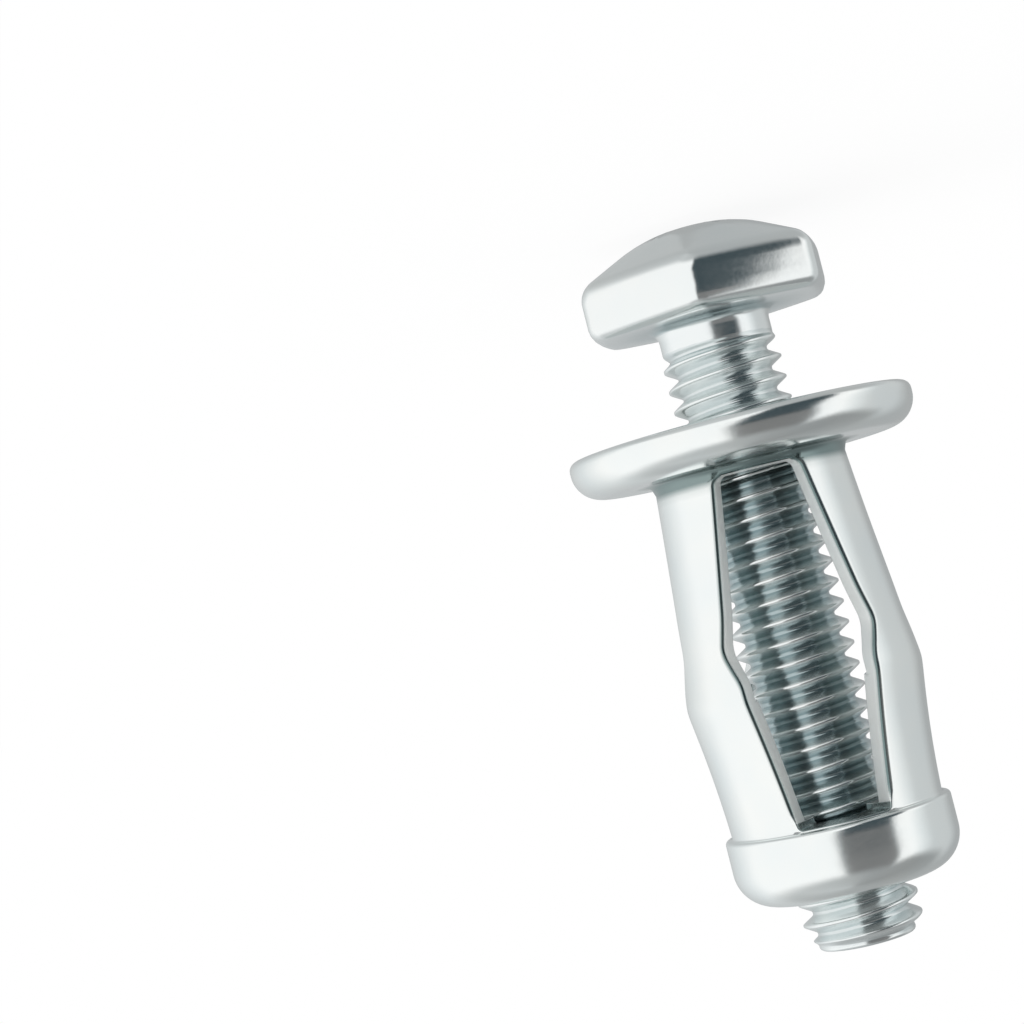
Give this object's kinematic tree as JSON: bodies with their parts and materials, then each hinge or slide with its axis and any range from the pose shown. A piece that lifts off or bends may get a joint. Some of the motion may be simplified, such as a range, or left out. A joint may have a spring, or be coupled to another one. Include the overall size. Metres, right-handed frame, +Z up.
{
  "type": "jack nut",
  "caption": "Flanged cage nut with slotted, bowed legs and a hexagon screw that draws its threaded collar up so the legs fold out behind a panel.",
  "frame": {"origin": "middle of the screw head's top face, on which it stands", "axes": "+Z up along the screw from its head to its tip; -Y out through the middle of one window; +X to the right of that"},
  "size_m": [0.0116, 0.0116, 0.0243],
  "materials": {
    "cage_zinc": "bright zinc plate on formed steel",
    "screw_zinc": "bright zinc plate on cold-headed steel"
  },
  "bodies": {
    "nut": {"cage_nut": "cage_zinc"},
    "screw": {"hex_screw": "screw_zinc"}
  },
  "joints": [
    {"name": "screw_turn", "type": "hinge", "parent": "nut", "child": "screw", "pos_m": [0, 0, 0.02006], "axis": [0, 0, 1], "range_deg": [-1890, 1830]}
  ]
}
